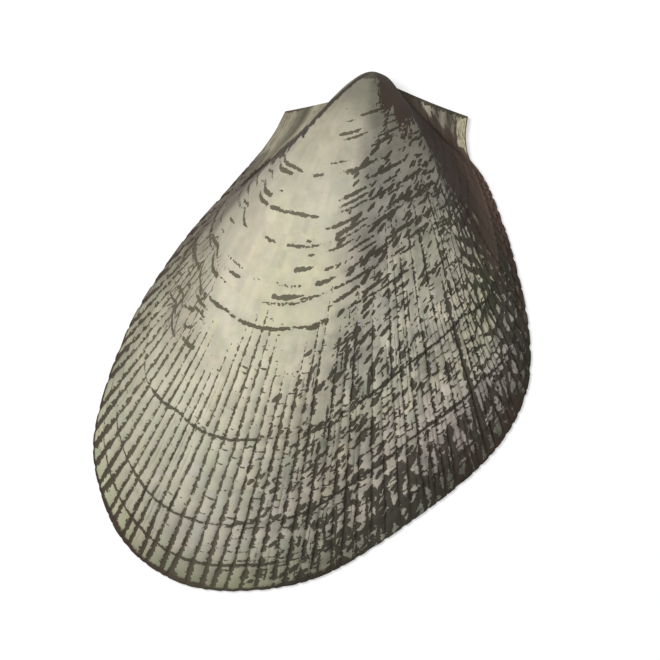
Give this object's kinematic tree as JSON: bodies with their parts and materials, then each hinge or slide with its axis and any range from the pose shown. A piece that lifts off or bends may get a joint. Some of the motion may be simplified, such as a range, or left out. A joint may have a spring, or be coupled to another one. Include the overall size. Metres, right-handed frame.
{
  "type": "file clam shell",
  "caption": "Half shell of a file clam lying on its rim: oblique oval dome with fine radial ribs and growth ledges, small ears beside the beak, smooth hollow inside.",
  "frame": {"origin": "middle of the footprint, in the plane of the rim that the valve rests on", "axes": "+Y toward the hinge and beak, +X toward the short rounded flank, +Z out of the convex face"},
  "size_m": [0.0764, 0.0902, 0.0213],
  "materials": {
    "shell": "matt, chalky outside with fine ribs, smoother inside"
  },
  "bodies": {
    "root": {"valve": "shell"}
  },
  "joints": []
}
